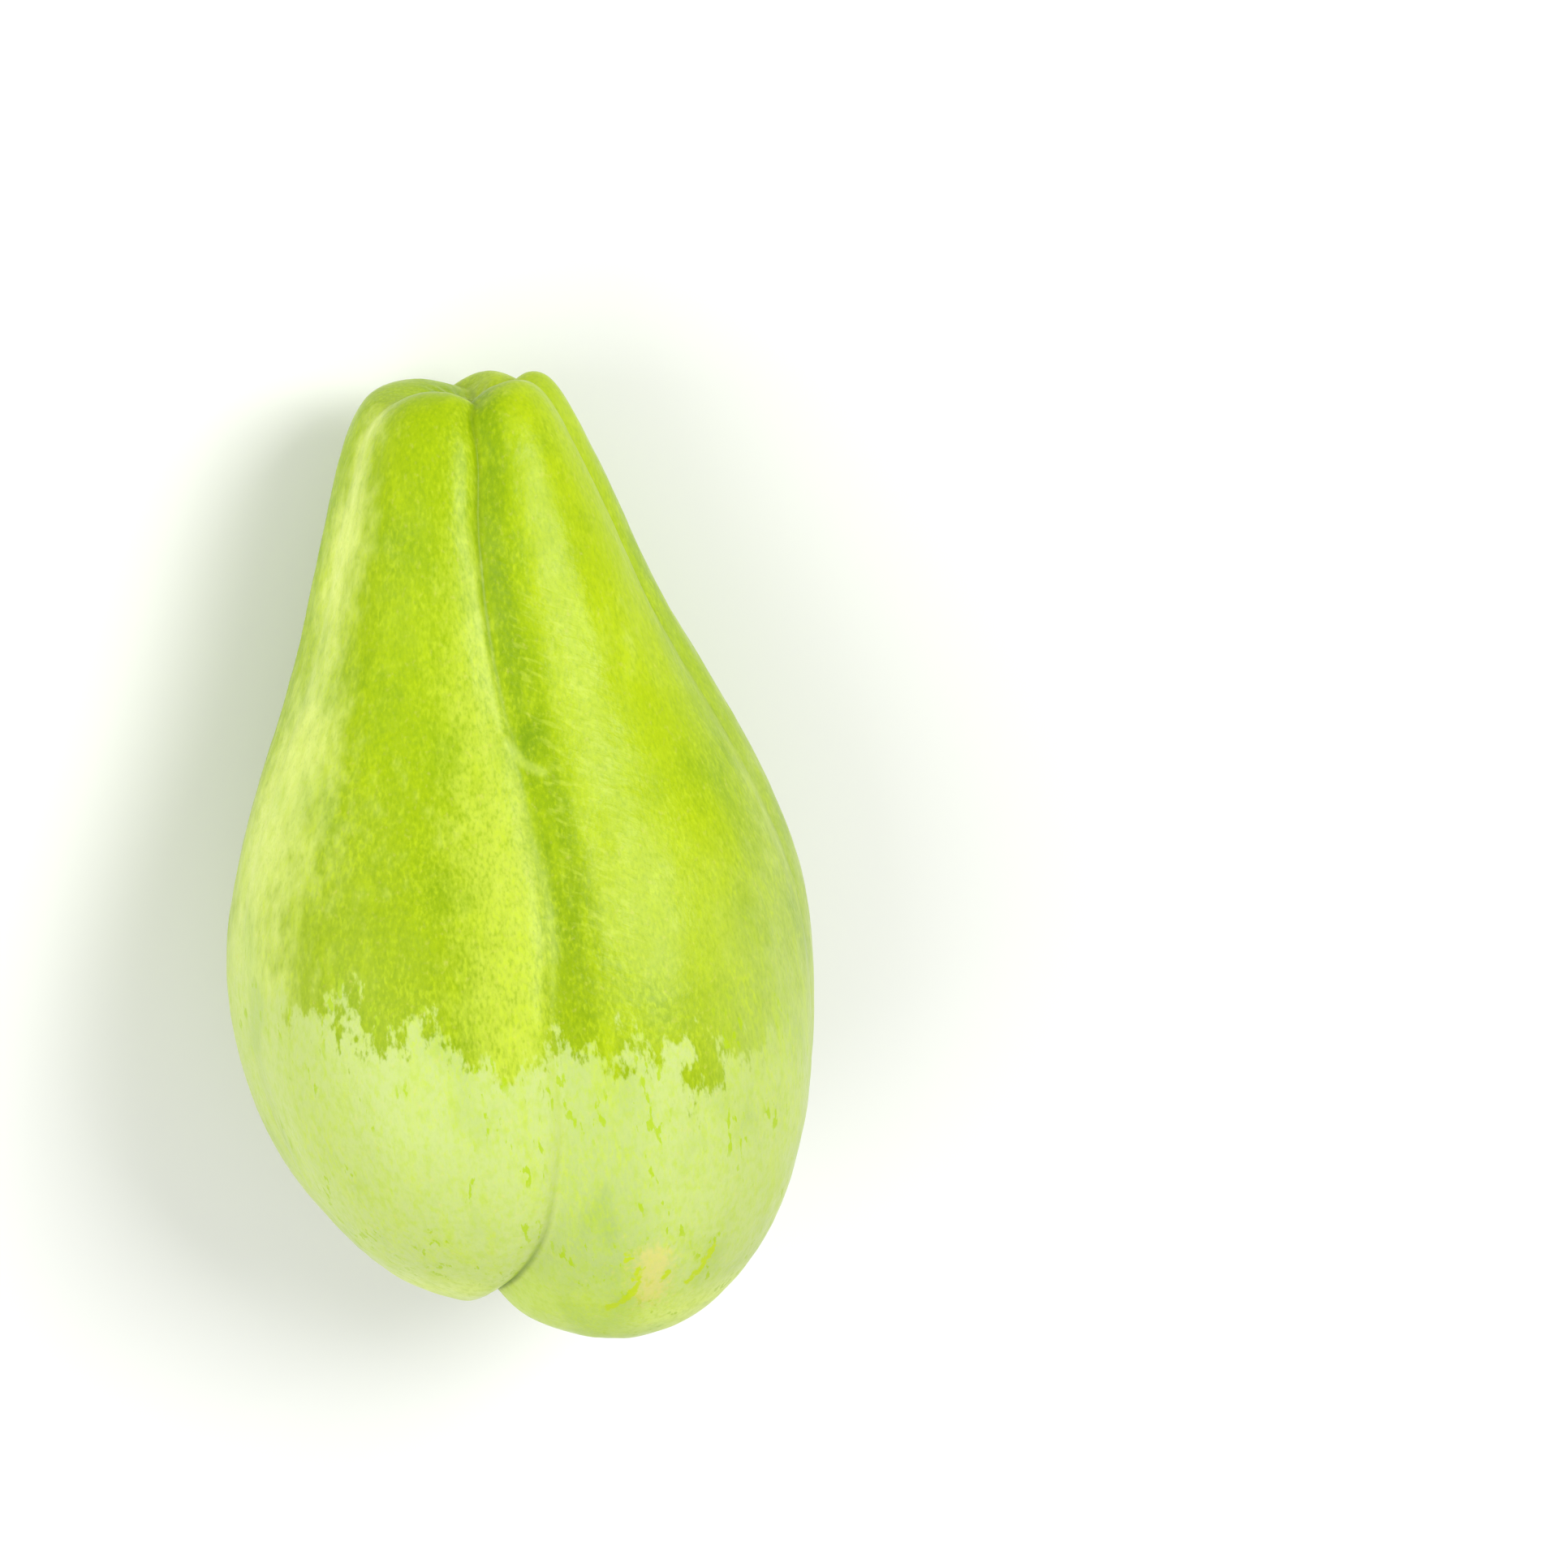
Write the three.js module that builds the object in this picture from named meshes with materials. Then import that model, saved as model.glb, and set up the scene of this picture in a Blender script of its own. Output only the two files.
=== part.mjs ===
// A whole chayote squash, as picked, lying on its side.
//
// Millimetres, +Z up. The long axis lies along Y with the stem end towards +Y. The origin is on the
// surface that the fruit lies on, under the middle of its box.
//
// The fruit is one closed skin. Its plain pear shape is a row of ellipses blended along the axis. Five
// furrows run from the dimple of the stem end to the mouth of the blossom end, and between them the flesh
// swells into five lobes. The rows of the mesh go round the fruit and its columns follow the furrows, so
// that every crease is an edge of the mesh.

import * as THREE from 'three';

// Size of the fruit as it lies
const fruitLength = 121;
const fruitWidth = 74;
const fruitHeight = 61;

// How it lies: the neck drops a little, and the flesh is pressed flat where it carries the weight
const neckDrop = THREE.MathUtils.degToRad(5.5);
const flatDepth = 1.5;

// Mesh density
const rowsPerRing = 4;
const columnsPerLobe = 14;
const columnCrowding = 0.6; // 0 spaces the columns evenly, 1 gathers them at the furrows

const skinColour = 0xb5d338;
const skinRoughness = 0.42;

// Rings of the plain pear shape, stem end first: place on the axis, half width in X, half depth in Z,
// and the shift of the ring's middle in X and Z. The first ring is the floor of the stem dimple, and the
// last three sink into the mouth, which is a slit lying across the width.
const rings = [
  { y: 58.4, halfWidth: 0, halfDepth: 0, x: 0.9, z: -0.4 },
  { y: 58.8, halfWidth: 2.4, halfDepth: 2.3, x: 0.9, z: -0.4 },
  { y: 60.3, halfWidth: 6.6, halfDepth: 6.2, x: 0.5, z: -0.5 },
  { y: 60.7, halfWidth: 10.8, halfDepth: 10.3, x: -0.5, z: -0.7 },
  { y: 55.5, halfWidth: 13.8, halfDepth: 13.2, x: -0.8, z: -0.8 },
  { y: 42.5, halfWidth: 18.2, halfDepth: 16.0, x: -0.8, z: -1.0 },
  { y: 28.0, halfWidth: 22.8, halfDepth: 18.6, x: -0.8, z: -1.2 },
  { y: 12.0, halfWidth: 30.8, halfDepth: 23.8, x: -1.0, z: -1.3 },
  { y: -4.0, halfWidth: 36.6, halfDepth: 28.6, x: -1.2, z: -0.8 },
  { y: -19.0, halfWidth: 36.9, halfDepth: 30.4, x: -1.4, z: 0 },
  { y: -33.0, halfWidth: 34.4, halfDepth: 29.4, x: -1.4, z: 0.5 },
  { y: -45.0, halfWidth: 29.1, halfDepth: 25.2, x: -1.7, z: 0.8 },
  { y: -53.8, halfWidth: 21.6, halfDepth: 17.0, x: -2.0, z: 0.8 },
  { y: -57.6, halfWidth: 13.6, halfDepth: 8.6, x: -1.2, z: 0.6 },
  { y: -54.8, halfWidth: 7.6, halfDepth: 2.6, x: -0.2, z: 0.4 },
  { y: -52.8, halfWidth: 0, halfDepth: 0, x: 0, z: 0.4 },
];

// The blossom end is cut aslant: the right side reaches further than the left
const blossomSlant = 0.15;
const slantStarts = 0.5;
const slantIsFull = 0.85;

// Furrows, counted round the fruit from the one on top towards the left. Each list holds values at equal
// steps from the stem end to the blossom end: the angle round the axis (0 right, 90 up, 180 left),
// the depth of the crease, and how far to each side of it the skin is drawn in.
const furrows = [
  {
    name: 'top',
    angles: [88, 89.5, 91, 93.5, 95, 94.5, 93, 94, 97, 105, 127, 147, 164],
    depths: [0.8, 1.2, 1.2, 0.5, 0.6, 2.2, 3.2],
    reaches: [3, 3.2, 4, 6, 5, 5, 4],
  },
  {
    name: 'left',
    angles: [168, 168, 170, 172, 174, 184, 188],
    depths: [0.4, 0.5, 0.3, 0.2, 0.5, 0.9, 3.4],
    reaches: [4, 5, 6, 7, 7, 6, 3.5],
  },
  {
    name: 'lower left',
    angles: [290, 284, 275, 262, 255, 253, 250, 246, 245, 243, 248, 252, 262],
    depths: [0.6, 1.0, 1.3, 0.9, 1.2, 1.5, 2.0],
    reaches: [4, 5, 5, 7, 7, 5, 5],
  },
  {
    name: 'lower right',
    angles: [342, 338, 332, 324, 319, 316, 312, 311, 307, 309, 305, 303, 294],
    depths: [0.2, 0.5, 0.8, 0.6, 0.9, 1.2, 1.7],
    reaches: [4, 5, 5, 7, 7, 5, 5],
  },
  {
    name: 'right',
    angles: [386, 384, 381, 378, 374, 368, 364],
    depths: [0.4, 0.7, 0.9, 0.6, 1.0, 2.4, 4.2],
    reaches: [4, 5, 5, 7, 7, 5, 3.5],
  },
];

// The swell of each lobe, at equal steps too. A lobe lies between its furrow and the next one.
const lobeSwells = [
  [0.8, 1.1, 1.4, 1.2, 2.2, 0.2, -0.6],
  [1.4, 1.2, 1.2, 1.2, 1.8, 1.6, 1.2],
  [0.6, 0.9, 1.1, 1.2, 1.6, 2.2, 2.4],
  [0.3, 0.8, 1.1, 1.2, 1.8, 2.6, 2.8],
  [0.8, 1.1, 1.4, 1.2, 2.2, 4.4, 4.4],
];

// How the lobes are rounded: about 1 leaves a sharp valley between two lobes, 2 a smooth one
const lobeRounding = [1.4, 1.6, 1.7, 1.9, 1.6, 1.2, 1.2];
const swellFadeRadius = 6; // lobes flatten out within this distance of the dimple and the mouth

// Along the top furrow the left lobe bulges over the right one, most of all near the blossom end
const lipHeights = [0.1, 0.35, 0.4, 0.4, 0.8, 0.5, 0.2];
const lipEdge = 1.2;
const lipSpread = 2.5; // in reaches of the furrow

const creaseFloor = 0.04; // rounds the bottom of each crease, in reaches
const creaseCurve = 2.2;
const creaseBlend = 3; // how strictly the deeper of two meeting creases wins

// Catmull-Rom value at a share (0 to 1) of a list with equal steps
function valueAlong(values, share) {
  const last = values.length - 1;
  const step = Math.min(Math.floor(share * last), last - 1);
  const t = share * last - step;
  const [a, b, c, d] = [-1, 0, 1, 2].map((shift) => values[THREE.MathUtils.clamp(step + shift, 0, last)]);
  const bend = t * (2 * a - 5 * b + 4 * c - d + t * (3 * (b - c) + d - a));
  return b + 0.5 * t * (c - a + bend);
}

// Beyond each pole the ring next to it is repeated turned inside out, so the skin passes smoothly over it
function mirrored(ring) {
  return { ...ring, halfWidth: -ring.halfWidth, halfDepth: -ring.halfDepth };
}

const splineRings = [mirrored(rings[1]), ...rings, mirrored(rings[rings.length - 2])];

// Uniform cubic B-spline of the rings
function ringAt(share) {
  const last = rings.length - 1;
  const step = Math.min(Math.floor(share * last), last - 1);
  const t = share * last - step;
  const weights = [
    (1 - t) ** 3 / 6,
    (3 * t ** 3 - 6 * t ** 2 + 4) / 6,
    (-3 * t ** 3 + 3 * t ** 2 + 3 * t + 1) / 6,
    t ** 3 / 6,
  ];
  const blended = {};
  for (const key of ['y', 'halfWidth', 'halfDepth', 'x', 'z']) {
    blended[key] = weights.reduce((sum, weight, i) => sum + weight * splineRings[step + i][key], 0);
  }
  return blended;
}

function plainPoint(share, angle) {
  const ring = ringAt(share);
  const x = ring.x + ring.halfWidth * Math.cos(angle);
  const slant = blossomSlant * THREE.MathUtils.smoothstep(share, slantStarts, slantIsFull);
  return new THREE.Vector3(x, ring.y - slant * x, ring.z + ring.halfDepth * Math.sin(angle));
}

function plainNormal(share, angle) {
  const nudge = 1e-4;
  const safeShare = THREE.MathUtils.clamp(share, 2 * nudge, 1 - 2 * nudge);
  const along = plainPoint(safeShare + nudge, angle).sub(plainPoint(safeShare - nudge, angle));
  const around = plainPoint(safeShare, angle + nudge).sub(plainPoint(safeShare, angle - nudge));
  return around.cross(along).normalize();
}

function furrowAngle(index, share) {
  const turns = Math.floor(index / furrows.length);
  const angle = valueAlong(furrows[index % furrows.length].angles, share);
  return THREE.MathUtils.degToRad(angle + 360 * turns);
}

// The skin at a share of the way from stem to blossom end, and a share of the way across a lobe
function skinPoint(share, lobe, across) {
  const start = furrowAngle(lobe, share);
  const angle = start + across * (furrowAngle(lobe + 1, share) - start);
  const ring = ringAt(share);
  const radius = Math.hypot(ring.halfWidth * Math.cos(angle), ring.halfDepth * Math.sin(angle));

  const rounding = valueAlong(lobeRounding, share);
  const fade = 1 - Math.exp(-((radius / swellFadeRadius) ** 2));
  let height = fade * valueAlong(lobeSwells[lobe], share) * Math.sin(Math.PI * across) ** rounding;

  let creases = 0;
  furrows.forEach((furrow, index) => {
    const turn = angle - furrowAngle(index, share);
    const chord = 2 * radius * Math.abs(Math.sin(turn / 2));
    const reach = valueAlong(furrow.reaches, share);
    const distance = Math.hypot(chord / reach, creaseFloor);
    const depth = Math.max(valueAlong(furrow.depths, share), 0);
    creases += (depth * Math.max(1 - distance, 0) ** creaseCurve) ** creaseBlend;
    if (index === 0) {
      const spread = Math.max(1 - chord / (lipSpread * reach), 0) ** 2;
      const side = Math.sign(Math.sin(turn));
      height += side * valueAlong(lipHeights, share) * Math.tanh(chord / lipEdge) * spread;
    }
  });
  height -= creases ** (1 / creaseBlend);

  return plainPoint(share, angle).addScaledVector(plainNormal(share, angle), height);
}

// Where a column stands across its lobe, with the columns gathered at the furrows
function columnShare(column) {
  const even = column / columnsPerLobe;
  const gathered = 0.5 - 0.5 * Math.cos(Math.PI * even);
  return columnCrowding * gathered + (1 - columnCrowding) * even;
}

// The poles are single points, and every row between them is a closed loop of columns
function skinPoints() {
  const rows = rowsPerRing * (rings.length - 1);
  const points = [skinPoint(0, 0, 0)];
  for (let row = 1; row < rows; row += 1) {
    for (let lobe = 0; lobe < furrows.length; lobe += 1) {
      for (let column = 0; column < columnsPerLobe; column += 1) {
        points.push(skinPoint(row / rows, lobe, columnShare(column)));
      }
    }
  }
  points.push(skinPoint(1, 0, 0));
  return points;
}

function skinTriangles() {
  const rows = rowsPerRing * (rings.length - 1);
  const columns = columnsPerLobe * furrows.length;
  const last = 1 + (rows - 1) * columns;
  const indexOf = (row, column) => 1 + (row - 1) * columns + (column % columns);
  const triangles = [];
  for (let column = 0; column < columns; column += 1) {
    triangles.push(0, indexOf(1, column + 1), indexOf(1, column));
    for (let row = 1; row < rows - 1; row += 1) {
      const [a, b] = [indexOf(row, column), indexOf(row, column + 1)];
      const [c, d] = [indexOf(row + 1, column), indexOf(row + 1, column + 1)];
      triangles.push(a, b, c, b, d, c);
    }
    triangles.push(indexOf(rows - 1, column + 1), last, indexOf(rows - 1, column));
  }
  return triangles;
}

// Turns the fruit to the way it lies, brings it to its real size, presses the flat spot and sets the origin
function layDown(points) {
  const turn = new THREE.Matrix4().makeRotationX(-neckDrop);
  points.forEach((point) => point.applyMatrix4(turn));

  const box = new THREE.Box3().setFromPoints(points);
  const middle = box.getCenter(new THREE.Vector3());
  const size = box.getSize(new THREE.Vector3());
  const scale = new THREE.Vector3(fruitWidth, fruitLength, fruitHeight + flatDepth).divide(size);
  points.forEach((point) => {
    point.sub(new THREE.Vector3(middle.x, middle.y, box.min.z)).multiply(scale);
    point.z = Math.max(point.z - flatDepth, 0);
  });
  return points;
}

function chayoteGeometry() {
  const geometry = new THREE.BufferGeometry().setFromPoints(layDown(skinPoints()));
  geometry.setIndex(skinTriangles());
  geometry.computeVertexNormals();
  return geometry;
}

function skinMaterial() {
  return new THREE.MeshStandardMaterial({ color: skinColour, roughness: skinRoughness, metalness: 0 });
}

const chayote = new THREE.Mesh(chayoteGeometry(), skinMaterial());
chayote.name = 'chayote';

const fruit = new THREE.Group();
fruit.add(chayote);

export default fruit;
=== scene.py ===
from math import pi, radians, tan

import bpy
import numpy as np
from mathutils import Matrix, Vector, noise


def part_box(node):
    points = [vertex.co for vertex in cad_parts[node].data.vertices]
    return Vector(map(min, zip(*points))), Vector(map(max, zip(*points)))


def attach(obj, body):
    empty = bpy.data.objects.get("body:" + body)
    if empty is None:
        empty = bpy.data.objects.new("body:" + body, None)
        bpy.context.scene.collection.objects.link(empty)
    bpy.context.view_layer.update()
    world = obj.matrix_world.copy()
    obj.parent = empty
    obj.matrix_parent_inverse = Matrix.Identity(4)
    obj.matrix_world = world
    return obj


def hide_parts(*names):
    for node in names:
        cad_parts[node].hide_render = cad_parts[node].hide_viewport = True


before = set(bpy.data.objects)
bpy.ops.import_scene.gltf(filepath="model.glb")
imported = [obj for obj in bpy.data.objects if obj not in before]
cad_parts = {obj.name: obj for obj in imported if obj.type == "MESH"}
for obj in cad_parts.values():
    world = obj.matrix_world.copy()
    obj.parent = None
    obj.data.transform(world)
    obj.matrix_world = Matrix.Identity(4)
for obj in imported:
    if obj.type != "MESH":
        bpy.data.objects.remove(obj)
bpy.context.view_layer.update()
print("frame loaded")

mm = 0.001  # the fruit is worked out in millimetres and laid down in metres


def paint(red, green, blue):
    # a screen colour, 0 to 255, as the linear colour of a socket, by the sRGB curve
    linear = [((c / 255 + 0.055) / 1.055) ** 2.4 if c > 10 else c / 255 / 12.92 for c in (red, green, blue)]
    return (*linear, 1.0)


# The chayote's skin. Lengths are in mm, and places along the fruit run from 0 at the stem to 1 at the
# blossom end. A mark with two numbers begins at the first and is full at the second. One with four also
# begins to fade at the third and has ended at the fourth
chayote = {
    # shape, the same values as the solid
    "length": 121,
    "neckDrop": radians(5.5),  # how far the neck leans down
    "flatDepth": 1.5,  # pressed flat underneath
    "slant": 0.15,  # the right side of the blossom end reaches further
    "slantAlong": (0.5, 0.85),
    "swellFade": 6,  # lobes flatten out within this distance of the dimple and the mouth
    "lipEdge": 1.2,
    "lipSpread": 2.5,  # in reaches of the furrow
    "creaseFloor": 0.04,  # rounds the bottom of each crease, in reaches
    "creaseCurve": 2.2,
    "creaseBlend": 3,  # how strictly the deeper of two meeting creases wins
    # rings from the stem dimple to the mouth: y, half width, half depth, x and z of the middle
    "rings": [
        (58.4, 0, 0, 0.9, -0.4),
        (58.8, 2.4, 2.3, 0.9, -0.4),
        (60.3, 6.6, 6.2, 0.5, -0.5),
        (60.7, 10.8, 10.3, -0.5, -0.7),
        (55.5, 13.8, 13.2, -0.8, -0.8),
        (42.5, 18.2, 16.0, -0.8, -1.0),
        (28.0, 22.8, 18.6, -0.8, -1.2),
        (12.0, 30.8, 23.8, -1.0, -1.3),
        (-4.0, 36.6, 28.6, -1.2, -0.8),
        (-19.0, 36.9, 30.4, -1.4, 0),
        (-33.0, 34.4, 29.4, -1.4, 0.5),
        (-45.0, 29.1, 25.2, -1.7, 0.8),
        (-53.8, 21.6, 17.0, -2.0, 0.8),
        (-57.6, 13.6, 8.6, -1.2, 0.6),
        (-54.8, 7.6, 2.6, -0.2, 0.4),
        (-52.8, 0, 0, 0, 0.4),
    ],
    # each furrow at equal steps along: the angle round the axis, with 0 on the right and 90 on top, the
    # depth of the crease, and how far to each side the skin is drawn in
    "furrows": [
        {  # top
            "angles": [88, 89.5, 91, 93.5, 95, 94.5, 93, 94, 97, 105, 127, 147, 164],
            "depths": [0.8, 1.2, 1.2, 0.5, 0.6, 2.2, 3.2],
            "reaches": [3, 3.2, 4, 6, 5, 5, 4],
        },
        {  # left
            "angles": [168, 168, 170, 172, 174, 184, 188],
            "depths": [0.4, 0.5, 0.3, 0.2, 0.5, 0.9, 3.4],
            "reaches": [4, 5, 6, 7, 7, 6, 3.5],
        },
        {  # lower left
            "angles": [290, 284, 275, 262, 255, 253, 250, 246, 245, 243, 248, 252, 262],
            "depths": [0.6, 1.0, 1.3, 0.9, 1.2, 1.5, 2.0],
            "reaches": [4, 5, 5, 7, 7, 5, 5],
        },
        {  # lower right
            "angles": [342, 338, 332, 324, 319, 316, 312, 311, 307, 309, 305, 303, 294],
            "depths": [0.2, 0.5, 0.8, 0.6, 0.9, 1.2, 1.7],
            "reaches": [4, 5, 5, 7, 7, 5, 5],
        },
        {  # right
            "angles": [386, 384, 381, 378, 374, 368, 364],
            "depths": [0.4, 0.7, 0.9, 0.6, 1.0, 2.4, 4.2],
            "reaches": [4, 5, 5, 7, 7, 5, 3.5],
        },
    ],
    # how far each lobe swells at equal steps along, from the top furrow round to the left
    "lobeSwells": [
        [0.8, 1.1, 1.4, 1.2, 2.2, 0.2, -0.6],
        [1.4, 1.2, 1.2, 1.2, 1.8, 1.6, 1.2],
        [0.6, 0.9, 1.1, 1.2, 1.6, 2.2, 2.4],
        [0.3, 0.8, 1.1, 1.2, 1.8, 2.6, 2.8],
        [0.8, 1.1, 1.4, 1.2, 2.2, 4.4, 4.4],
    ],
    "lobeRounding": [1.4, 1.6, 1.7, 1.9, 1.6, 1.2, 1.2],  # 1 leaves a sharp valley between lobes
    "lipHeights": [0.1, 0.35, 0.4, 0.4, 0.8, 0.5, 0.2],  # the left of the top furrow bulges over the right
    # mesh
    "rows": 330,
    "columnsPerLobe": 58,
    "crowding": 0.4,  # 0 spaces the columns evenly, 1 gathers them at the furrows
    # small relief of the skin
    "relief": {
        "lumps": {"across": 15, "along": 24, "height": 0.32, "seed": 1},
        "ridges": {"across": 3.4, "along": 26, "height": 0.11, "seed": 2},
        "pebbles": {"across": 1.5, "along": 2.3, "height": 0.045, "seed": 3},
        # fine folds on the right of the top furrow, running down to the right
        "wrinkles": {"across": 4.5, "along": 1.3, "height": 0.06, "seed": 6, "slant": radians(30)},
        # how far the furrows stray to each side, over what length, and the half width of the fruit below
        # which they stray less
        "wander": {"width": 1.3, "length": 8, "thinnest": 4},
        # folds that gather into the mouth and, lower, into the dimple. A noise is across, along and seed
        "puckers": {
            "count": 17,
            "height": 0.5,
            "twist": 2.5,
            "twistNoise": (5, 5, 4),
            "least": 0.35,  # of the height
            "heightNoise": (4, 4, 5),
            "mouthReach": 8.5,
            "mouthAlong": (0.8, 0.9),
            "stemPart": 0.3,  # of the height
            "stemRing": (3.2, 2.2),  # radius and width
            "stemAlong": (0.3, 0.2),
        },
        "scar": {"radius": 1.9, "rimWidth": 0.4, "height": 0.35, "sunken": 0.5, "along": (0.2, 0.1)},
        # a short raised line that leaves the top furrow, as x and y
        "fork": {"points": [(-2.4, 20.6), (-0.9, 17.9), (1.2, 16.6)], "width": 0.7, "height": 0.22},
    },
    # where colours and finishes lie; left and right are distances from the top furrow
    "marks": {
        # creases get painted shade: a dark line this wide, full dark at this depth
        "creaseWidth": 0.75,  # to each side
        "creaseDepth": 2,  # at which a crease is full dark
        # painted highlight on the ridge beside the top furrow. It widens with the fruit: its distances hold
        # where the half width is the one given, and the larger the stiffness, the less they change elsewhere
        "crestHighlight": {"left": (-1.0, 1.5, 2.5, 10), "halfWidth": 24, "stiffness": 6, "along": (0.18, 0.5)},
        "wrinkled": {"right": (0.5, 2.5, 8, 15), "along": (0.28, 0.38, 0.52, 0.62)},
        "rightLobe": {"right": (3, 6, 18, 30), "along": (0.7, 0.5)},
        # where the painted highlight along the edge of the lip lies
        "lip": {"left": 0.9, "width": 0.5, "along": (0.3, 0.34, 0.42, 0.45), "strength": 0.7},
        "shade": {  # darker band; where it fades and ends, and its strength, are at equal steps along
            "right": (0, 1.2),
            "fades": [2, 2, 2, 5, 9, 4],
            "ends": [4.4, 4.4, 5, 11, 19, 8],
            "strength": [1, 1, 1, 0.45, 0.7, 0.8],
        },
        # where the pale left flank lies: a paler ground spot with a painted highlight over it
        # at equal steps along: the angle round the axis and the width, both in degrees
        "flank": {"angle": [160, 160, 166, 188, 190], "width": [16, 18, 24, 36, 36], "along": (0.1, 0.26)},
        # where the pale end has its sharp edge, and how much sooner or later it begins on each side
        "upper": {"height": (26, 54), "x": (30, 12)},
        "sooner": {"x": (-8, -28), "shift": 0.07},
        "later": {"x": (0, 6), "shift": -0.015},
        "rim": {"radius": (38, 18), "along": (0.71, 0.82)},
        "mouth": {"radius": 5.0, "along": (0.85, 0.93)},
        # lines as x and y, which lie only on the upper side, above this height
        "upperSide": 20,
        "blemish": {"points": [(6.6, -44.2), (6.2, -48.6)], "width": 2.7},
        "stains": [
            {"points": [(5.0, -45.0), (3.6, -49.4), (1.0, -51.0)], "width": 0.6},
            {"points": [(11.2, -48.6), (13.0, -46.6), (14.6, -44.2)], "width": 0.6},
            {"points": [(3.4, -42.6), (3.6, -43.2)], "width": 0.5},
            {"points": [(8.4, -46.0), (7.8, -47.2)], "width": 0.5},
        ],
    },
    # layers of colour, from the ground up. A noise has its size across and along, its detail and its seed;
    # a fade says at which mask value a layer begins and is full, and how strong it then is
    "look": {
        "neck": {"colour": paint(156, 184, 0)},
        "middle": {"colour": paint(150, 176, 0), "fade": (0.3, 0.6)},
        "patches": {"noise": (13, 17, 2, 1), "shift": 0.26},
        "mottle": {"noise": (1.7, 3.4, 4, 2.5), "shift": 0.16},
        # painted highlight on the ridge beside the top furrow
        "crestHighlight": {"colour": paint(199, 217, 76), "fade": (0.6, 2.0, 0.8), "unevenness": 1.1},
        # a lighter right lobe: partly its own lighter green, partly painted light
        "rightLobe": {"colour": paint(182, 204, 8), "fade": (0.1, 1.1, 0.5)},
        # a paler ground spot on the left flank with a painted highlight over it
        "flank": {"colour": paint(228, 241, 128), "fade": (0.1, 1.15, 0.9)},
        # a pale blossom end, painted as a whitish haze of reflected light
        "blossomEnd": {"colour": paint(190, 207, 122), "softEdge": (0.4, 0.84), "sharpEdge": (0.667, 0.695)},
        # a greener rim round the blossom end, lightened with painted light
        "rim": {"colour": paint(218, 236, 100), "fade": (0.1, 0.9, 0.7)},
        "shade": {"colour": paint(206, 220, 200), "fade": (0.1, 1.0, 0.65)},
        "blotches": {"colour": paint(214, 228, 190), "fade": (0.5, 0.72, 0.5), "noise": (9, 14, 2, 2)},
        "streaks": {"colour": paint(188, 212, 6), "fade": (0.5, 0.75, 0.3), "noise": (2.2, 24, 2, 3)},
        "grain": {
            "colour": paint(188, 212, 6),
            "fade": (0.5, 0.72, 0.32),
            "noise": (0.4, 1.1, 3, 4),
            "shift": 0.07,
        },
        "dashes": {"colour": paint(196, 218, 36), "fade": (0.48, 0.66, 0.3), "noise": (0.5, 1.3, 2, 12)},
        "dashGroups": {"fade": (0.48, 0.62), "noise": (8, 12, 2, 11)},
        "pits": {"colour": paint(214, 228, 190), "fade": (0.5, 0.3, 0.4), "paleEndFade": (0.5, 0.3, 0.12)},
        "folds": {"colour": paint(199, 217, 76), "fade": (0.48, 0.68, 0.3), "noise": (2.3, 0.8, 3, 10)},
        "clouds": {"colour": paint(176, 202, 50), "fade": (0.42, 0.72, 0.45), "noise": (0.9, 1.5, 4, 13)},
        "flecks": {
            "colour": paint(168, 198, 8),
            "fade": (0.59, 0.645),
            "noise": (0.9, 2.6, 3, 5),
            "along": (0.56, 0.64, 0.85),
        },
        "fleckGroups": {"fade": (0.49, 0.6), "noise": (5, 9, 1, 6)},
        # painted shade in the creases
        "crease": {"colour": paint(92, 126, 2), "fade": (0.15, 1.0, 0.8)},
        "mouth": {"colour": paint(150, 160, 60), "fade": (0.35, 0.95, 0.6)},
        "scar": {"colour": paint(176, 166, 92), "fade": (0.2, 0.9, 0.75)},
        # painted highlight along the edge of the lip and on the raised fork
        "ridgeHighlight": {"colour": paint(212, 230, 110), "fade": (0.2, 0.9, 0.28)},
        "blots": {"noise": (0.7, 0.9, 3, 7), "spread": 1.7},
        "rubbed": {"colour": paint(220, 206, 118), "fade": (0.1, 1.0, 0.6)},
        "stain": {"colour": paint(184, 206, 6), "fade": (0.35, 0.7, 0.9), "within": (0.05, 0.25)},
        "gloss": {"fade": (0.3, 0.7, 0.14), "noise": (3, 5, 3, 8)},
        "pores": {"noise": (0.55, 0.8, 3, 9)},
    },
    "finish": {
        "roughness": 0.36,
        "specular": 0.12,
        "dullness": 0.2,  # added to the roughness where the skin is rubbed or creased
        "poreBump": {"Strength": 0.5, "Distance": 0.15 * mm},
        "foldBump": {"Strength": 0.45, "Distance": 0.4 * mm},
        "shader": {
            "Coat Weight": 0.12,
            "Coat Roughness": 0.25,
            "Subsurface Weight": 0.1,
            "Subsurface Radius": (0.7, 1.0, 0.25),
            "Subsurface Scale": 2.0 * mm,
        },
    },
}
rings = np.array(chayote["rings"])
furrows = chayote["furrows"]
relief, marks, look, finish = (chayote[part] for part in ("relief", "marks", "look", "finish"))
insideOut = np.array([1, -1, -1, 1, 1])  # a ring carried on past its pole
splineRings = np.vstack([rings[1] * insideOut, rings, rings[-2] * insideOut])


def smooth(value, begins, full):
    # a soft step from 0 to 1; begins may be the larger one
    t = np.clip((value - begins) / (full - begins), 0, 1)
    return t * t * (3 - 2 * t)


def band(value, begins, full, fades, ends):
    return smooth(value, begins, full) * smooth(value, ends, fades)


def bump(value, middle, width):
    return np.exp(-(((value - middle) / width) ** 2))


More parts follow.
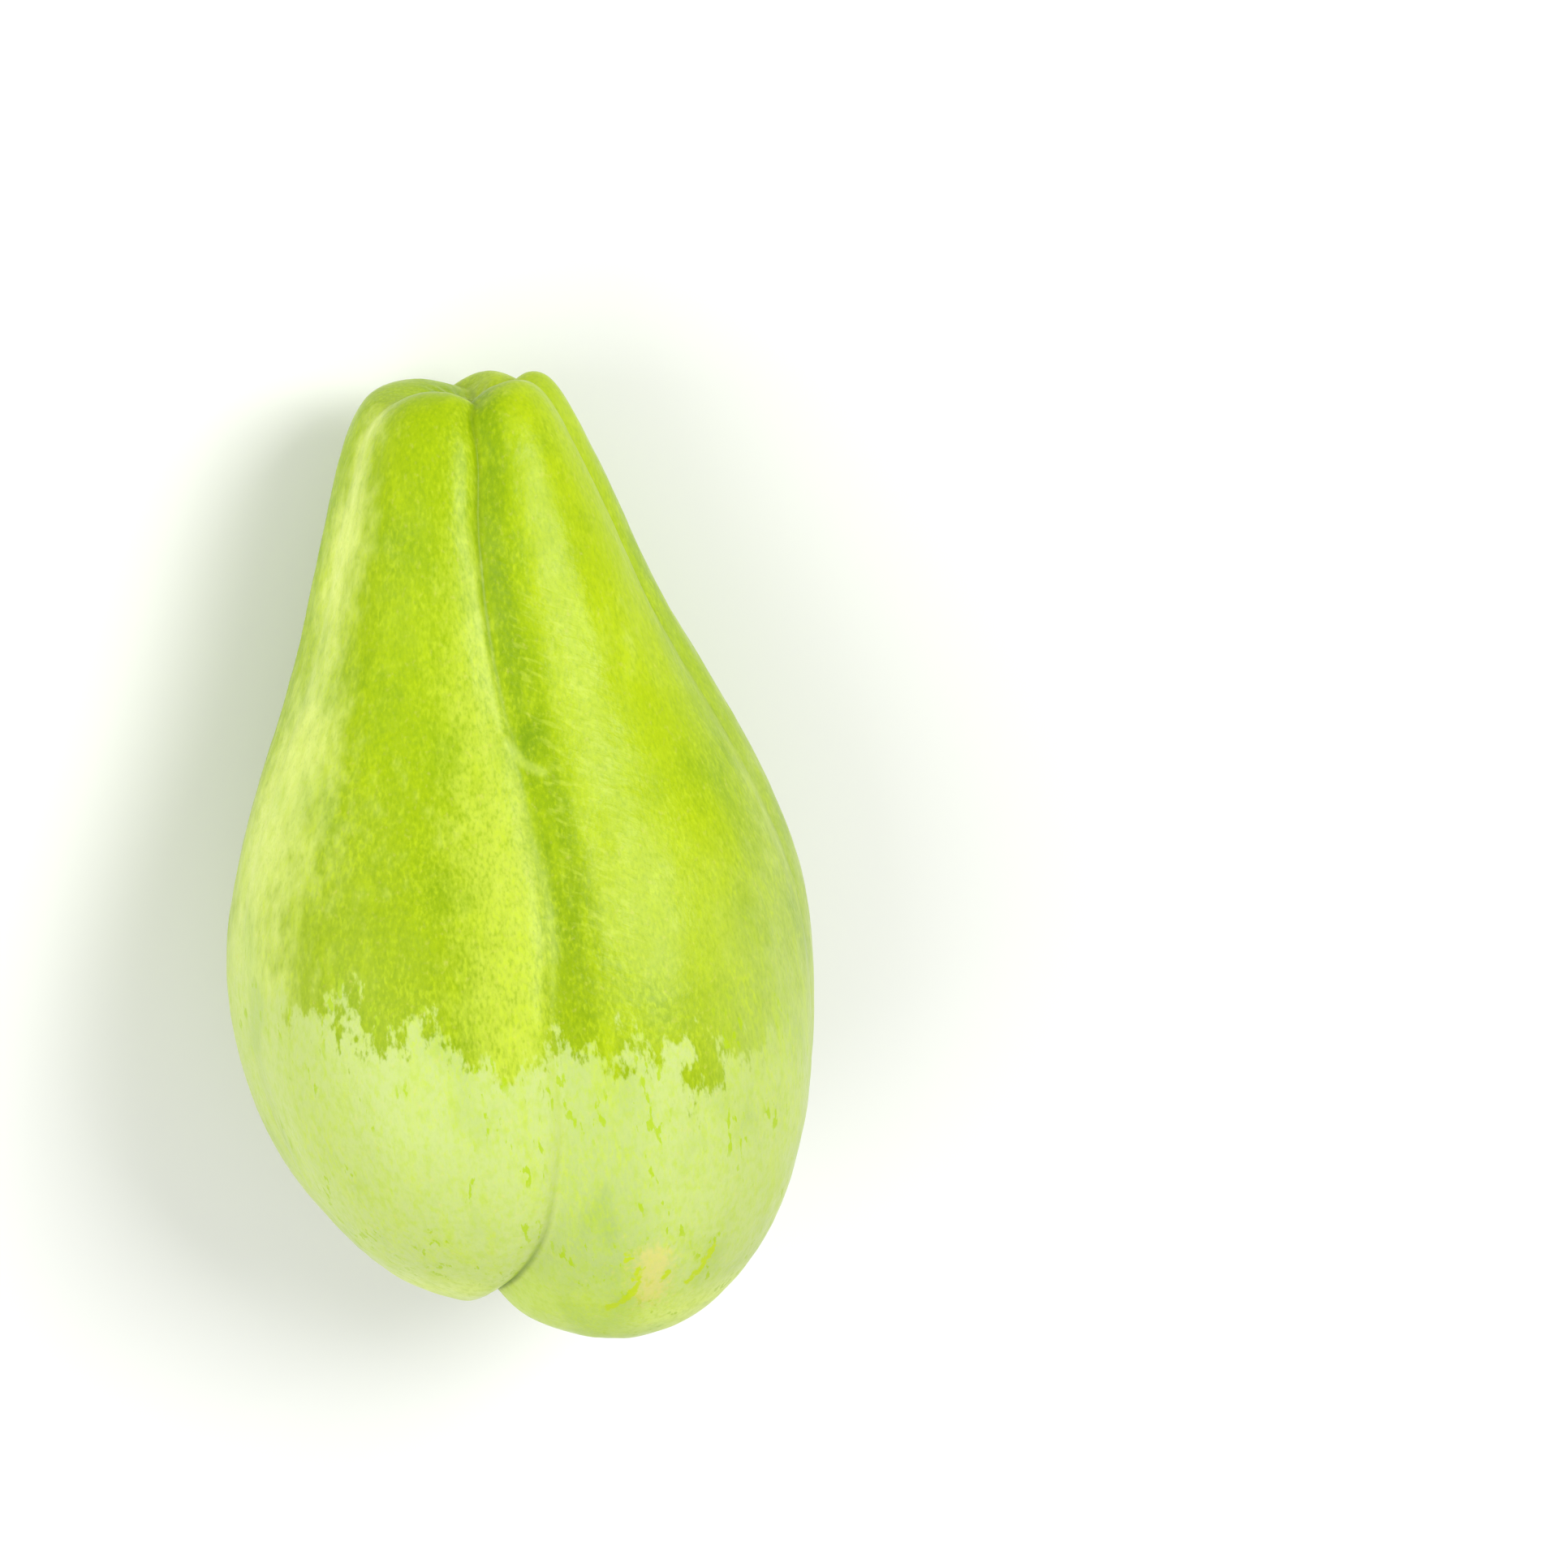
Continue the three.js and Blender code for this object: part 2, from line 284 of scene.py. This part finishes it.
def valueAlong(values, share):
    # Catmull-Rom through values at equal steps
    values = np.asarray(values, float)
    last = len(values) - 1
    step = np.minimum((share * last).astype(int), last - 1)
    t = share * last - step
    a, b, c, d = (values[np.clip(step + shift, 0, last)] for shift in (-1, 0, 1, 2))
    bend = t * (2 * a - 5 * b + 4 * c - d + t * (3 * (b - c) + d - a))
    return b + 0.5 * t * (c - a + bend)


def ringAt(share):
    # uniform cubic B-spline of the rings
    last = len(rings) - 1
    step = np.minimum((share * last).astype(int), last - 1)
    t = share * last - step
    weights = [
        (1 - t) ** 3 / 6,
        (3 * t ** 3 - 6 * t ** 2 + 4) / 6,
        (-3 * t ** 3 + 3 * t ** 2 + 3 * t + 1) / 6,
        t ** 3 / 6,
    ]
    blended = sum(weight[..., None] * splineRings[step + i] for i, weight in enumerate(weights))
    return np.moveaxis(blended, -1, 0)


def plainPoint(share, angle):
    y, halfWidth, halfDepth, midX, midZ = ringAt(share)
    x = midX + halfWidth * np.cos(angle)
    slant = chayote["slant"] * smooth(share, *chayote["slantAlong"])
    return np.stack(np.broadcast_arrays(x, y - slant * x, midZ + halfDepth * np.sin(angle)), -1)


def plainNormal(share, angle):
    nudge = 1e-4
    safe = np.clip(share, 2 * nudge, 1 - 2 * nudge)
    along = plainPoint(safe + nudge, angle) - plainPoint(safe - nudge, angle)
    around = plainPoint(safe, angle + nudge) - plainPoint(safe, angle - nudge)
    normal = np.cross(around, along)
    return normal / np.linalg.norm(normal, axis=-1, keepdims=True)


def furrowAngle(index, share):
    turns, index = divmod(index, len(furrows))
    wander = relief["wander"]
    places = share.ravel() * chayote["length"] / wander["length"]
    # the halves keep clear of whole numbers, where this noise is 0
    strayed = np.array([noise.noise((place, index + 0.5, 0.5)) for place in places]).reshape(share.shape)
    size = np.maximum(ringAt(share)[1], wander["thinnest"])
    angle = np.radians(valueAlong(furrows[index]["angles"], share) + 360 * turns)
    return angle + wander["width"] * strayed / size


def noiseOf(points, across, along, seed):
    # soft noise from -1 to 1, stretched along Y and moved on by its seed
    stretched = points.reshape(-1, 3) / (across, along, across) + seed * np.array([17.3, 5.1, 9.7])
    return np.array([noise.noise(Vector(point)) for point in stretched]).reshape(points.shape[:-1])


def reliefOf(points, kind):
    return kind["height"] * noiseOf(points, kind["across"], kind["along"], kind["seed"])


def skinGrid():
    # the share along and the angle of every point, and how far across its lobe each column stands
    samples = np.linspace(0, 1, 2000)  # close enough together to measure the way along the fruit
    y, halfWidth = ringAt(samples)[:2]
    travelled = np.concatenate([[0], np.cumsum(np.hypot(np.diff(y), np.diff(halfWidth)))])
    share = np.interp(np.linspace(0, travelled[-1], chayote["rows"] + 1), travelled, samples)[:, None]

    even = np.arange(chayote["columnsPerLobe"]) / chayote["columnsPerLobe"]
    gathered = 0.5 - 0.5 * np.cos(pi * even)
    across = chayote["crowding"] * gathered + (1 - chayote["crowding"]) * even
    angles = []
    for lobe in range(len(furrows)):
        start, end = furrowAngle(lobe, share), furrowAngle(lobe + 1, share)
        angles.append(start + across * (end - start))
    return share, np.hstack(angles), across


def shapeHeights(share, angle, across, radius):
    # lobes, lip and creases, with a narrow mask along each crease and the distance to the left of the top one
    rounding = valueAlong(chayote["lobeRounding"], share)
    lobe = np.sin(pi * across) ** rounding
    swell = np.hstack([valueAlong(swells, share) * lobe for swells in chayote["lobeSwells"]])
    height = (1 - bump(radius, 0, chayote["swellFade"])) * swell

    creases = 0
    lines = []
    for index, furrow in enumerate(furrows):
        turn = angle - furrowAngle(index, share)
        chord = 2 * radius * np.abs(np.sin(turn / 2))
        reach = valueAlong(furrow["reaches"], share)
        depth = np.maximum(valueAlong(furrow["depths"], share), 0)
        closeness = np.maximum(1 - np.hypot(chord / reach, chayote["creaseFloor"]), 0)
        creases = creases + (depth * closeness ** chayote["creaseCurve"]) ** chayote["creaseBlend"]
        lines.append(bump(chord, 0, marks["creaseWidth"]) * np.clip(depth / marks["creaseDepth"], 0, 1))
        if index == 0:
            beside = chord * np.sign(np.sin(turn))
            spread = np.maximum(1 - chord / (chayote["lipSpread"] * reach), 0) ** 2
            lip = valueAlong(chayote["lipHeights"], share) * np.tanh(beside / chayote["lipEdge"])
            height = height + lip * spread
    return height - creases ** (1 / chayote["creaseBlend"]), np.max(lines, axis=0), beside


def scarMask(share, radius):
    return np.exp(-((radius / relief["scar"]["radius"]) ** 4)) * smooth(share, *relief["scar"]["along"])


def reliefHeights(share, angle, radius, points, wrinkled):
    # what the finger feels: wrinkles, lumps, soft ridges along the fruit, pebbled skin, puckers and the scar
    slanted = points @ np.array(Matrix.Rotation(relief["wrinkles"]["slant"], 3, "Z")).T
    height = wrinkled * reliefOf(slanted, relief["wrinkles"])
    for name in ("lumps", "ridges", "pebbles"):
        height = height + reliefOf(points, relief[name])

    puckers = relief["puckers"]
    wave = puckers["count"] * angle + puckers["twist"] * noiseOf(points, *puckers["twistNoise"])
    depth = np.abs(noiseOf(points, *puckers["heightNoise"])) + puckers["least"]
    nearMouth = bump(radius, 0, puckers["mouthReach"]) * smooth(share, *puckers["mouthAlong"])
    stemRing = bump(radius, *puckers["stemRing"]) * smooth(share, *puckers["stemAlong"])
    gathered = nearMouth + puckers["stemPart"] * stemRing
    height = height + puckers["height"] * gathered * depth * np.cos(wave)

    scar = relief["scar"]
    rim = bump(radius, scar["radius"], scar["rimWidth"]) * smooth(share, *scar["along"])
    return height + scar["height"] * (rim - scar["sunken"] * scarMask(share, radius))


def underMiddle(low, high):
    # the point of a box that lies below its middle
    return np.array([(low[0] + high[0]) / 2, (low[1] + high[1]) / 2, low[2]])


def layDown(points, plainShape):
    # turns the fruit to the way it lies, fits it to the solid's box and presses the flat spot
    turn = np.array(Matrix.Rotation(-chayote["neckDrop"], 3, "X")).T
    points, plainShape = points @ turn, plainShape.reshape(-1, 3) @ turn
    low, high = plainShape.min(0), plainShape.max(0)
    boxLow, boxHigh = (np.array(corner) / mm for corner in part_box("chayote"))
    sunkLow = boxLow - (0, 0, chayote["flatDepth"])
    size = boxHigh - sunkLow
    laid = (points - underMiddle(low, high)) * size / (high - low) + underMiddle(sunkLow, boxHigh)
    laid[..., 2] = np.maximum(laid[..., 2], boxLow[2])
    return laid


def lineOn(laid, line):
    # a soft line over the upper side of the fruit
    points = np.array(line["points"])
    nearest = np.inf
    for start, end in zip(points, points[1:]):
        length = np.linalg.norm(end - start)
        direction = (end - start) / length
        offset = laid[..., :2] - start
        run = np.clip(offset @ direction, 0, length)
        nearest = np.minimum(nearest, np.linalg.norm(offset - run[..., None] * direction, axis=-1))
    return bump(nearest, 0, line["width"]) * (laid[..., 2] > marks["upperSide"])


def skinMasks(share, angle, radius, halfWidth, beside, laid):
    # where each colour lies, by the names that the material reads
    x, y, z = np.moveaxis(laid, -1, 0)
    crestHighlight, shade, flank = marks["crestHighlight"], marks["shade"], marks["flank"]
    rightLobe, lip = marks["rightLobe"], marks["lip"]
    stretched = beside * (crestHighlight["halfWidth"] + crestHighlight["stiffness"]) / (halfWidth + crestHighlight["stiffness"])
    shadeEdge = (valueAlong(shade[name], share) for name in ("fades", "ends"))
    flankPlace = (valueAlong(flank[name], share) for name in ("angle", "width"))
    masks = {
        "crestHighlight": band(stretched, *crestHighlight["left"]) * smooth(share, *crestHighlight["along"]),
        "shade": valueAlong(shade["strength"], share) * band(-beside, *shade["right"], *shadeEdge),
        "rightLobe": band(-beside, *rightLobe["right"]) * smooth(share, *rightLobe["along"]),
        "ridgeHighlight": lip["strength"] * bump(beside, lip["left"], lip["width"]) * band(share, *lip["along"]),
        "flank": bump(np.degrees(angle), *flankPlace) * smooth(share, *flank["along"]),
        "upper": smooth(z, *marks["upper"]["height"]) * smooth(x, *marks["upper"]["x"]),
        "along": 0.5 - y / chayote["length"],
        "rim": smooth(radius, *marks["rim"]["radius"]) * smooth(share, *marks["rim"]["along"]),
        "mouth": bump(radius, 0, marks["mouth"]["radius"]) * smooth(share, *marks["mouth"]["along"]),
        "scar": scarMask(share, radius),
        "blemish": lineOn(laid, marks["blemish"]),
        "stain": np.maximum.reduce([lineOn(laid, stain) for stain in marks["stains"]]),
    }
    for side in ("sooner", "later"):
        masks["along"] = masks["along"] + marks[side]["shift"] * smooth(x, *marks[side]["x"])
    return masks


def makeSkin():
    share, angle, across = skinGrid()
    halfWidth, halfDepth = ringAt(share)[1:3]
    radius = np.hypot(halfWidth * np.cos(angle), halfDepth * np.sin(angle))
    points, normals = plainPoint(share, angle), plainNormal(share, angle)
    height, crease, beside = shapeHeights(share, angle, across, radius)
    wrinkled = band(-beside, *marks["wrinkled"]["right"]) * band(share, *marks["wrinkled"]["along"])
    fine = reliefHeights(share, angle, radius, points, wrinkled)
    plainShape = points + height[..., None] * normals
    laid = layDown(points + (height + fine)[..., None] * normals, plainShape)
    fork = lineOn(laid, relief["fork"])
    laid[..., 2] += relief["fork"]["height"] * fork

    masks = skinMasks(share, angle, radius, halfWidth, beside, laid)
    # the painted highlight runs along the raised fork as well as the lip
    masks["ridgeHighlight"] = np.maximum(fork, masks["ridgeHighlight"])
    return buildMesh(laid, {**masks, "crease": crease, "wrinkled": wrinkled})


def buildMesh(laid, masks):
    # one point at each pole and a closed loop of points for each row between them
    rows, columns = laid.shape[:2]
    vertices = np.vstack([laid[:1].mean(1), laid[1:-1].reshape(-1, 3), laid[-1:].mean(1)]) * mm
    last = len(vertices) - 1
    index = 1 + np.arange((rows - 2) * columns).reshape(rows - 2, columns)
    beside = np.roll(index, -1, axis=1)
    quads = np.stack([index[:-1], beside[:-1], beside[1:], index[1:]], -1).reshape(-1, 4).tolist()
    stemFan = [(0, b, a) for a, b in zip(index[0].tolist(), beside[0].tolist())]
    mouthFan = [(last, a, b) for a, b in zip(index[-1].tolist(), beside[-1].tolist())]

    mesh = bpy.data.meshes.new("chayoteSkin")
    mesh.from_pydata(vertices.tolist(), [], stemFan + quads + mouthFan)
    mesh.shade_smooth()
    for name, mask in masks.items():
        values = np.concatenate([[mask[0].mean()], mask[1:-1].ravel(), [mask[-1].mean()]])
        mesh.attributes.new(name, "FLOAT", "POINT").data.foreach_set("value", values.astype(np.float32))
    return mesh


def newMaterial(name, colour, roughness, specular):
    material = bpy.data.materials.new(name)
    material.use_nodes = True
    shader = material.node_tree.nodes["Principled BSDF"]
    shader.inputs["Base Color"].default_value = colour
    shader.inputs["Roughness"].default_value = roughness
    shader.inputs["Specular IOR Level"].default_value = specular
    return material, material.node_tree, shader


def plug(tree, socket, value):
    # a socket is linked, and anything else is set as the value
    if isinstance(value, bpy.types.NodeSocket):
        tree.links.new(value, socket)
    else:
        socket.default_value = value


def addNode(tree, kind, **inputs):
    # inputs are named by socket
    node = tree.nodes.new("ShaderNode" + kind)
    for name, value in inputs.items():
        plug(tree, node.inputs[name], value)
    return node


def mathOf(tree, operation, first, second):
    node = tree.nodes.new("ShaderNodeMath")
    node.operation = operation
    plug(tree, node.inputs[0], first)
    plug(tree, node.inputs[1], second)
    return node.outputs[0]


def plus(tree, first, second):
    return mathOf(tree, "ADD", first, second)


def times(tree, first, second):
    return mathOf(tree, "MULTIPLY", first, second)


def fade(tree, value, begins, full, strength=1.0):
    # a soft step from 0 to the strength; begins may be the larger one
    node = tree.nodes.new("ShaderNodeMapRange")
    node.interpolation_type = "SMOOTHSTEP"
    for name, number in (("Value", value), ("From Min", begins), ("From Max", full), ("To Max", strength)):
        plug(tree, node.inputs[name], number)
    return node.outputs["Result"]


def mixed(tree, factor, first, second, blend="MIX"):
    node = tree.nodes.new("ShaderNodeMix")
    node.data_type = "RGBA"
    node.blend_type = blend
    colours = [socket for socket in node.inputs if socket.type == "RGBA"]
    for socket, value in zip((node.inputs[0], *colours), (factor, first, second)):
        plug(tree, socket, value)
    return next(socket for socket in node.outputs if socket.type == "RGBA")


def maskOf(tree, name):
    node = tree.nodes.new("ShaderNodeAttribute")
    node.attribute_name = name
    return node.outputs["Fac"]


def skinNoise(tree, place, across, along, detail, seed):
    # noise in mm, stretched along the fruit and moved on by its seed
    scale = (1 / (across * mm), 1 / (along * mm), 1 / (across * mm))
    scaled = addNode(tree, "Mapping", Vector=place, Location=(seed, seed * 0.7, seed * 1.3), Scale=scale)
    return addNode(tree, "TexNoise", Vector=scaled.outputs[0], Scale=1.0, Detail=detail).outputs["Fac"]


def noiseFor(tree, place, name):
    return skinNoise(tree, place, *look[name]["noise"])


def centred(tree, value):
    return mathOf(tree, "SUBTRACT", value, 0.5)  # noise runs from 0 to 1


def faded(tree, mask, name):
    return fade(tree, mask, *look[name]["fade"])


def lay(tree, below, mask, name, blend="MIX"):
    # a layer of colour over what is below it, as strong as its mask says
    return mixed(tree, faded(tree, mask, name), below, look[name]["colour"], blend)


def groundColour(tree, place, grain):
    # green neck and middle, with a painted highlight on the ridge beside the top furrow,
    # a lighter right lobe and a pale left flank
    patches, mottle = (centred(tree, noiseFor(tree, place, name)) for name in ("patches", "mottle"))
    shifted = plus(tree, maskOf(tree, "along"), times(tree, patches, look["patches"]["shift"]))
    colour = lay(tree, look["neck"]["colour"], shifted, "middle")
    uneven = times(tree, plus(tree, mottle, grain), look["crestHighlight"]["unevenness"])
    colour = lay(tree, colour, plus(tree, maskOf(tree, "crestHighlight"), uneven), "crestHighlight")
    # the right lobe is lighter: partly its own green, partly painted light
    colour = lay(tree, colour, plus(tree, maskOf(tree, "rightLobe"), patches), "rightLobe")
    # a paler ground spot on the left flank with a painted highlight over it
    colour = lay(tree, colour, plus(tree, maskOf(tree, "flank"), plus(tree, mottle, patches)), "flank")

    # a pale blossom end, painted as a whitish haze of reflected light, which begins with a ragged edge
    # on top and fades in down the sides
    ragged = plus(tree, shifted, times(tree, mottle, look["mottle"]["shift"]))
    ragged = plus(tree, ragged, times(tree, grain, look["grain"]["shift"]))
    edges = (fade(tree, ragged, *look["blossomEnd"][name]) for name in ("softEdge", "sharpEdge"))
    paleEnd = mixed(tree, maskOf(tree, "upper"), *edges)
    colour = mixed(tree, paleEnd, colour, look["blossomEnd"]["colour"])
    # a greener rim round the blossom end, lightened with painted light where the end turns from the lamps
    return lay(tree, colour, plus(tree, maskOf(tree, "rim"), patches), "rim"), paleEnd


def addTexture(tree, place, colour, grain, paleEnd):
    # a darker band beside the top furrow, broad blotches, long streaks, fine grain, dashes and pits
    colour = lay(tree, colour, maskOf(tree, "shade"), "shade", "MULTIPLY")
    colour = lay(tree, colour, noiseFor(tree, place, "blotches"), "blotches", "MULTIPLY")
    colour = lay(tree, colour, noiseFor(tree, place, "streaks"), "streaks")
    colour = lay(tree, colour, grain, "grain")
    dashes, groups = (faded(tree, noiseFor(tree, place, name), name) for name in ("dashes", "dashGroups"))
    colour = mixed(tree, times(tree, dashes, groups), colour, look["dashes"]["colour"])
    depths = (fade(tree, grain, *look["pits"][name]) for name in ("fade", "paleEndFade"))
    return mixed(tree, mixed(tree, paleEnd, *depths), colour, look["pits"]["colour"], "MULTIPLY")


def addFlecks(tree, place, colour, paleEnd):
    # green clouds and short green flecks on the pale end
    clouds, flecks, groups = (
        faded(tree, noiseFor(tree, place, name), name) for name in ("clouds", "flecks", "fleckGroups")
    )
    colour = mixed(tree, times(tree, clouds, paleEnd), colour, look["clouds"]["colour"])
    zone = times(tree, groups, fade(tree, maskOf(tree, "along"), *look["flecks"]["along"]))
    return mixed(tree, times(tree, flecks, zone), colour, look["flecks"]["colour"])


def addMarks(tree, place, colour, crease):
    # painted shade in the creases, a darker mouth, the dimple's scar, painted highlight on the lip and fork
    colour = lay(tree, colour, crease, "crease")
    for name in ("mouth", "scar", "ridgeHighlight"):
        colour = lay(tree, colour, maskOf(tree, name), name)

    # a rubbed patch with its stains
    blots = times(tree, centred(tree, noiseFor(tree, place, "blots")), look["blots"]["spread"])
    rubbed = faded(tree, plus(tree, maskOf(tree, "blemish"), blots), "rubbed")
    colour = mixed(tree, rubbed, colour, look["rubbed"]["colour"])
    stain = maskOf(tree, "stain")
    within = fade(tree, stain, *look["stain"]["within"])
    stained = times(tree, faded(tree, plus(tree, stain, blots), "stain"), within)
    return mixed(tree, stained, colour, look["stain"]["colour"]), rubbed


def makeSkinMaterial():
    neck = look["neck"]["colour"]
    material, tree, shader = newMaterial("chayoteSkin", neck, finish["roughness"], finish["specular"])
    place = addNode(tree, "TexCoord").outputs["Object"]
    crease, grain = maskOf(tree, "crease"), noiseFor(tree, place, "grain")
    slanted = addNode(tree, "Mapping", Vector=place, Rotation=(0, 0, relief["wrinkles"]["slant"]))
    folds = times(tree, noiseFor(tree, slanted.outputs[0], "folds"), maskOf(tree, "wrinkled"))

    colour, paleEnd = groundColour(tree, place, grain)
    colour = lay(tree, addTexture(tree, place, colour, grain, paleEnd), folds, "folds")
    colour, rubbed = addMarks(tree, place, addFlecks(tree, place, colour, paleEnd), crease)
    tree.links.new(colour, shader.inputs["Base Color"])

    # satin wax, duller where the skin is rubbed or creased
    gloss = faded(tree, noiseFor(tree, place, "gloss"), "gloss")
    lowest = finish["roughness"] - look["gloss"]["fade"][-1] / 2
    dull = times(tree, mathOf(tree, "MAXIMUM", crease, rubbed), finish["dullness"])
    tree.links.new(plus(tree, plus(tree, gloss, dull), lowest), shader.inputs["Roughness"])

    # pores and folds finer than the mesh
    pores = addNode(tree, "Bump", Height=noiseFor(tree, place, "pores"), **finish["poreBump"])
    wrinkles = addNode(tree, "Bump", Height=folds, Normal=pores.outputs[0], **finish["foldBump"])
    tree.links.new(wrinkles.outputs[0], shader.inputs["Normal"])

    for name, value in finish["shader"].items():
        shader.inputs[name].default_value = value
    return material


skin = bpy.data.objects.new("chayoteSkin", makeSkin())
bpy.context.scene.collection.objects.link(skin)
print("skin made:", len(skin.data.polygons), "faces")

skin.data.materials.append(makeSkinMaterial())
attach(skin, "root")
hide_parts("chayote")
print("skin painted")

studio = {
    "floorSize": 6.0,
    "floor": {"colour": paint(236, 237, 234), "roughness": 0.7, "specular": 0.2},
    "background": (1.0, 1.0, 1.0, 1.0),
    "backgroundStrength": 0.56,
    # each light: place and size in metres, power in watts
    "lights": {
        "key": {"place": (0.42, 0.28, 0.75), "size": 0.4, "power": 5.2},
        "fill": {"place": (-0.6, -0.05, 0.55), "size": 0.7, "power": 3.6},
    },
}


def makeFloor():
    half = studio["floorSize"] / 2
    mesh = bpy.data.meshes.new("floor")
    corners = [(-half, -half, 0), (half, -half, 0), (half, half, 0), (-half, half, 0)]
    mesh.from_pydata(corners, [], [(0, 1, 2, 3)])
    mesh.materials.append(newMaterial("floor", **studio["floor"])[0])
    floor = bpy.data.objects.new("floor", mesh)
    bpy.context.scene.collection.objects.link(floor)


def makeLights():
    world = bpy.data.worlds.new("studio")
    world.use_nodes = True
    background = world.node_tree.nodes["Background"]
    background.inputs["Color"].default_value = studio["background"]
    background.inputs["Strength"].default_value = studio["backgroundStrength"]
    bpy.context.scene.world = world
    for name, light in studio["lights"].items():
        data = bpy.data.lights.new(name, "AREA")
        data.size, data.energy = light["size"], light["power"]
        lamp = bpy.data.objects.new(name, data)
        lamp.location = light["place"]
        lamp.rotation_euler = (-Vector(light["place"])).to_track_quat("-Z", "Y").to_euler()
        bpy.context.scene.collection.objects.link(lamp)


camera = {
    "target": (0.0350, 0.0044, 0.030),  # in metres
    "leanToLeft": radians(13),  # off the vertical
    "leanToStem": radians(18),
    "distance": 0.650,
    "roll": radians(-5.2),
    "lens": 118.7,
}


def makeCamera():
    back = Vector((-tan(camera["leanToLeft"]), tan(camera["leanToStem"]), 1)).normalized()
    right = Vector((0, 1, 0)).cross(back).normalized()
    up = back.cross(right)
    turn = Matrix((right, up, back)).transposed() @ Matrix.Rotation(camera["roll"], 3, "Z")
    data = bpy.data.cameras.new("camera")
    data.lens = camera["lens"]
    seat = bpy.data.objects.new("camera", data)
    seat.matrix_world = Matrix.LocRotScale(Vector(camera["target"]) + camera["distance"] * back, turn, None)
    bpy.context.scene.collection.objects.link(seat)
    bpy.context.scene.camera = seat


makeFloor()
makeLights()
makeCamera()
bpy.context.scene.view_settings.view_transform = "Standard"
print("studio made")
